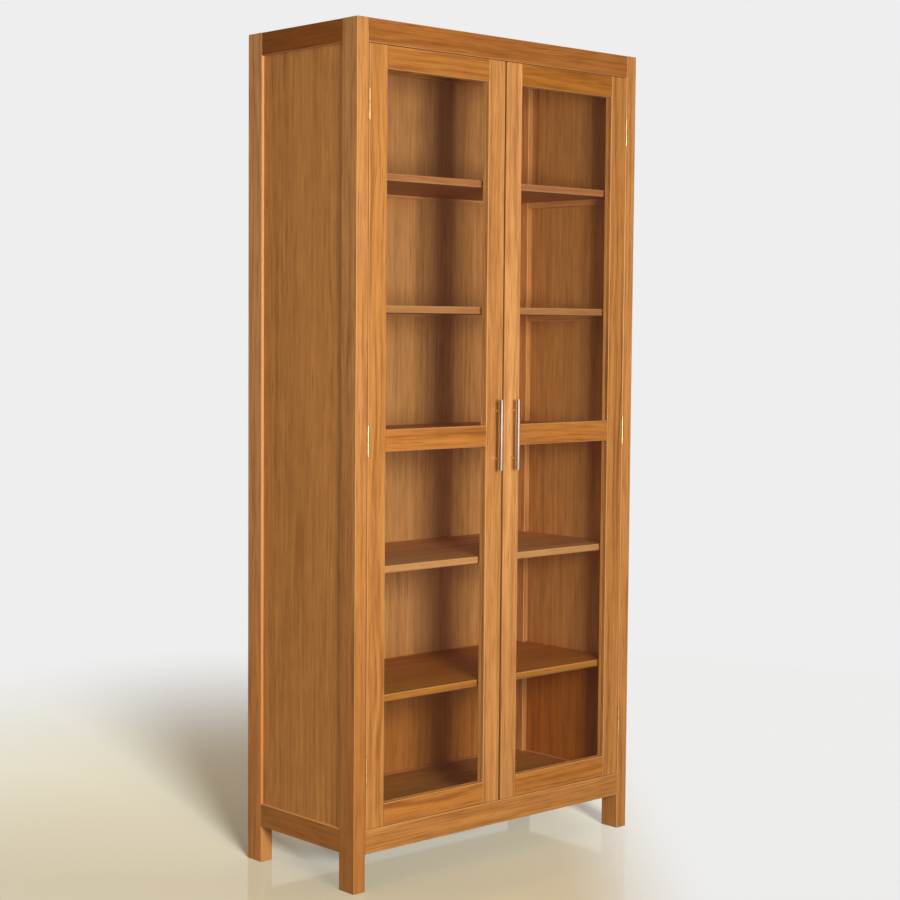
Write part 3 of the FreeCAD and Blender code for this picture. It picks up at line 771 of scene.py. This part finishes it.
# Zinc plate is a dull grey with small clouds, and the worn nickel of a magnet is darker still.
zinc = metal("zinc plated steel", "#A9A499", "#87827A", 0.42, 0.58, (1.5, 1.5, 1.5), 9)
magnet = metal("nickel plated magnet", "#8F8C86", "#6E6B66", 0.42, 0.58, (3.3, 3.3, 3.3), 17)
print("metals:", [finish.name for finish in (brass, steel, zinc, magnet)])

# %% Plastic, and all the fittings
# Moulded plastic comes out of a spark-roughened mould: an even, soft gloss over a fine grit.
GRIT_WIDTH, GRIT_HEIGHT, GRIT_STRENGTH = 1.1 * MM, 0.2 * MM, 0.2
PLASTIC_ROUGHNESS = 0.45
plastic, tree, output = new_material("brown moulded plastic")
place = add(tree, "ShaderNodeTexCoord").outputs["Object"]
grit = add(tree, "ShaderNodeTexNoise", {"Vector": place, "Scale": 1 / GRIT_WIDTH, "Detail": 2.0})
tint = add(tree, "ShaderNodeMix", {0: grit.outputs["Fac"], 6: linear("#4A3322"), 7: linear("#5C412C")},
           data_type="RGBA")
bump = add(tree, "ShaderNodeBump",
           {"Height": grit.outputs["Fac"], "Strength": GRIT_STRENGTH, "Distance": GRIT_HEIGHT})
surface = add(tree, "ShaderNodeBsdfPrincipled",
              {"Base Color": tint.outputs[2], "Roughness": PLASTIC_ROUGHNESS, "Normal": bump.outputs[0]})
tree.links.new(surface.outputs[0], output.inputs["Surface"])

FITTINGS = {"hinge_leaves": brass, "hinge_pins": brass, "catch_plate": zinc, "handle_": steel,
            "door_catches": plastic, "catch_magnets": magnet}
for words, finish in FITTINGS.items():
    named = [node for node in sorted(nodes) if words in node]
    for node in named:
        dress(nodes[node], finish)
    print(finish.name + ":", named)

# %% [markdown]
# ## Handles
# Each handle is a round steel bar on two slim posts. The loaded bar is made of flat strips, which show on
# bright metal. So the bar is turned again with more sides: a cylinder whose ends are inset and sunk a
# little, as a lathe leaves them, and whose rims are rounded by a Bevel modifier. Each post starts as a
# cylinder too, and its foot is extruded to a small collar on the stile.

# %% Modelling helpers
# A face looks along a way if its normal is within about 25 degrees of it.
SAME_WAY = 0.9
# Edges sharper than the first are rounded, and edges flatter than the second are shaded smooth.
SHARP, FLAT = math.radians(40), math.radians(35)


def select_only(*pieces):
    """Only these pieces selected, the first one active, so that the next operator acts on them alone."""
    if bpy.context.mode != "OBJECT":
        bpy.ops.object.mode_set(mode="OBJECT")
    bpy.ops.object.select_all(action="DESELECT")
    for piece in pieces:
        piece.select_set(True)
    if pieces:
        bpy.context.view_layer.objects.active = pieces[0]


def edit_faces(piece, way):
    """Edit mode with the faces selected that look along way."""
    bpy.ops.object.mode_set(mode="EDIT")
    bpy.ops.mesh.select_mode(type="FACE")
    bpy.ops.mesh.select_all(action="DESELECT")
    bpy.ops.object.mode_set(mode="OBJECT")
    for face in piece.data.polygons:
        face.select = face.normal.dot(Vector(way)) > SAME_WAY
    bpy.ops.object.mode_set(mode="EDIT")


def round_edges(piece, width, segments):
    """Rounds the sharp edges of the active piece with a Bevel modifier, and smooths what is nearly flat."""
    bpy.ops.object.modifier_add(type="BEVEL")
    bevel = piece.modifiers[-1]
    bevel.width = width
    bevel.segments = segments
    bevel.limit_method = "ANGLE"
    bevel.angle_limit = SHARP
    bpy.ops.object.modifier_apply(modifier=bevel.name)
    bpy.ops.object.shade_smooth_by_angle(angle=FLAT)


def settle(piece):
    """The piece, which is selected, at the origin and unturned, with its place in its mesh."""
    bpy.ops.object.transform_apply(location=True, rotation=True, scale=True)
    return piece


print("helpers ready:", [helper.__name__ for helper in (select_only, edit_faces, round_edges, settle)])

# %% Turned bar
BAR_SIDES = 64
END_RIM, END_SINK, END_ROUNDING = 1.3 * MM, 0.35 * MM, 0.5 * MM
bar_low, bar_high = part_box("left_handle_bar")
bar_centre = (bar_low + bar_high) / 2
bar_radius = (bar_high.x - bar_low.x) / 2
bar_length = bar_high.z - bar_low.z

select_only()
bpy.ops.mesh.primitive_cylinder_add(vertices=BAR_SIDES, radius=bar_radius, depth=bar_length,
                                    location=bar_centre)
left_bar = bpy.context.object
for end in (1, -1):
    edit_faces(left_bar, (0, 0, end))
    bpy.ops.mesh.inset(thickness=END_RIM)
    bpy.ops.mesh.extrude_region_move(TRANSFORM_OT_translate={"value": (0, 0, -END_SINK * end)})
    bpy.ops.object.mode_set(mode="OBJECT")
round_edges(left_bar, END_ROUNDING, 3)
print("bar radius and length in mm:", round(bar_radius / MM, 2), round(bar_length / MM, 1))

# %% Handle posts with collars
POST_SIDES = 40
COLLAR, COLLAR_SPREAD, COLLAR_ROUNDING = 1.2 * MM, 1.5, 0.3 * MM
post_low, post_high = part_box("left_handle_posts")
post_radius = (post_high.x - post_low.x) / 2
shank = post_high.y - bar_centre.y - COLLAR

posts = []
for height in (post_low.z + post_radius, post_high.z - post_radius):
    select_only()
    bpy.ops.mesh.primitive_cylinder_add(vertices=POST_SIDES, radius=post_radius, depth=shank,
                                        rotation=(math.pi / 2, 0, 0),
                                        location=(bar_centre.x, bar_centre.y + shank / 2, height))
    post = settle(bpy.context.object)
    edit_faces(post, (0, 1, 0))
    bpy.ops.mesh.extrude_region_move(TRANSFORM_OT_translate={"value": (0, 0, 0)})
    bpy.ops.transform.resize(value=(COLLAR_SPREAD, 1.0, COLLAR_SPREAD))
    bpy.ops.mesh.extrude_region_move(TRANSFORM_OT_translate={"value": (0, COLLAR, 0)})
    bpy.ops.object.mode_set(mode="OBJECT")
    round_edges(post, COLLAR_ROUNDING, 2)
    posts.append(post)

select_only(*posts)
bpy.ops.object.join()
left_posts = posts[0]
print("post radius and shank in mm:", round(post_radius / MM, 2), round(shank / MM, 2))

# %% Both handles
handles = {}
for kind, original in (("bar", left_bar), ("posts", left_posts)):
    select_only(original)
    settle(original)
    dress(original, steel)
    bpy.ops.object.duplicate()
    copy = bpy.context.object
    bpy.ops.transform.translate(value=(-2 * bar_centre.x, 0, 0))
    settle(copy)
    for side, piece in (("left", original), ("right", copy)):
        piece.name = f"{side}_turned_{kind}"
        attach(piece, side + "_door")
        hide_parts(f"{side}_handle_{kind}")
        handles[side, kind] = piece
print("faces of the handles:", {piece.name: len(piece.data.polygons) for piece in handles.values()})

# %% [markdown]
# ## Lamps kept off bars and panes
# A lamp shows its own image in polished bars and in glass, far brighter than anything else there, and on
# the real bookcase no such image is seen. Dimmer lamps would darken the wood too. So the key and the fill
# are linked to everything but bars and panes, and the strip to everything but the panes.

# %% Lamps kept off
bars = [handles["left", "bar"], handles["right", "bar"]]
for lamp, spared in ((key, bars + panes), (fill, bars + panes), (strip, panes)):
    lamp.light_linking.receiver_collection = all_but("spared_by_" + lamp.name, spared)
    print(lamp.name, "is kept off", len(spared), "pieces")

# %% [markdown]
# ## Screws
# Hinges and catches are held by small screws with a slot across the head. A flat disc would do from afar.
# Up close the slot and the rounded rim catch the light, so one head is modelled: a cylinder, a rim rounded
# by a bevel and a slot cut by a Boolean. It is copied to every place, and the slots are left at the odd
# angles at which a screwdriver stops.

# %% One slotted screw head
HEAD_SIDES = 32
HEAD_RADIUS, HEAD_THICK, HEAD_ROUNDING = 3.4 * MM, 1.2 * MM, 0.4 * MM
# The head's middle stands this far out of the metal, so that nearly half of the head is sunk.
HEAD_OUT = 0.1 * MM
SLOT_CUTTER = (9 * MM, 0.9 * MM, 1.0 * MM)

select_only()
bpy.ops.mesh.primitive_cylinder_add(vertices=HEAD_SIDES, radius=HEAD_RADIUS, depth=HEAD_THICK,
                                    location=(0, 0, HEAD_OUT))
screw_head = settle(bpy.context.object)
screw_head.name = "screw_head"
round_edges(screw_head, HEAD_ROUNDING, 3)

select_only()
bpy.ops.mesh.primitive_cube_add(size=1, location=(0, 0, HEAD_OUT + HEAD_THICK / 2), scale=SLOT_CUTTER)
slot_cutter = settle(bpy.context.object)

select_only(screw_head)
bpy.ops.object.modifier_add(type="BOOLEAN")
screw_head.modifiers[-1].object = slot_cutter
screw_head.modifiers[-1].operation = "DIFFERENCE"
bpy.ops.object.modifier_apply(modifier=screw_head.modifiers[-1].name)
bpy.data.objects.remove(slot_cutter)
print("screw head faces:", len(screw_head.data.polygons))

# %% Screws in the hinges
# The head is modelled large and set at four fifths of that size.
SCREW_SCALE = 0.8
# Where the first slot stops, and how much further each next one is turned, in radians.
FIRST_STOP, NEXT_STOP = 0.5, 2.4
HALF_HINGE = 38 * MM
# Up from the middle of a leaf and in from its back edge, in mm: a shallow zigzag doesn't split the wood.
ZIGZAG = ((-26, 8), (0, 5), (26, 8))


def set_screws(name, places, outward, finish, body):
    """Copies of the screw head at places, facing outward, joined to one piece."""
    facing = Vector(outward).to_track_quat("Z", "Y").to_matrix().to_4x4()
    copies = []
    for number, place in enumerate(places):
        select_only(screw_head)
        bpy.ops.object.duplicate()
        copy = bpy.context.object
        stop = Matrix.Rotation(NEXT_STOP * number + FIRST_STOP, 4, "Z")
        copy.matrix_world = Matrix.Translation(place) @ facing @ stop @ Matrix.Scale(SCREW_SCALE, 4)
        copies.append(copy)
    select_only(*copies)
    bpy.ops.object.join()
    joined = settle(copies[0])
    joined.name = name
    dress(joined, finish)
    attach(joined, body)
    return joined


screws = []
for side, sign in (("left", -1), ("right", 1)):
    post_face = min(abs(corner.x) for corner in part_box(f"post_front_{side}"))
    stile_face = max(abs(corner.x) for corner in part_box(f"{side}_door_hinge_stile"))
    for leaf, face, outward, body in ((f"post_hinge_leaves_{side}", post_face, -sign, "case"),
                                      (f"{side}_door_hinge_leaves", stile_face, sign, f"{side}_door")):
        low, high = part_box(leaf)
        places = []
        for middle in (low.z + HALF_HINGE, (low.z + high.z) / 2, high.z - HALF_HINGE):
            for up, inward in ZIGZAG:
                places.append((sign * face, high.y - inward * MM, middle + up * MM))
        screws.append(set_screws(f"{leaf}_screws", places, (outward, 0, 0), brass, body))
print("screws in each group of leaves:", len(places))

# %% Screws in the catches
CATCH_INSETS = (6, 34)
BELOW_CATCH_TOP = 9
low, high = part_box("door_catches")
places = []
for sign in (-1, 1):
    for inset in CATCH_INSETS:
        places.append((sign * (high.x - inset * MM), high.y, high.z - BELOW_CATCH_TOP * MM))
screws.append(set_screws("catch_screws", places, (0, 1, 0), steel, "case"))
bpy.data.objects.remove(screw_head)
print("screw groups:", [piece.name for piece in screws])

# %% [markdown]
# ## Sizes and the end
# The dressed bookcase must be the same size as the loaded one, because its sizes were settled there. The
# last line prints how much its box has grown along each side.

# %% Sizes
new_low, new_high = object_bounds()
grown = [new - old for new, old in zip(new_high - new_low, cad_high - cad_low)]
print("grown by, in mm:", [round(side / MM, 2) for side in grown])
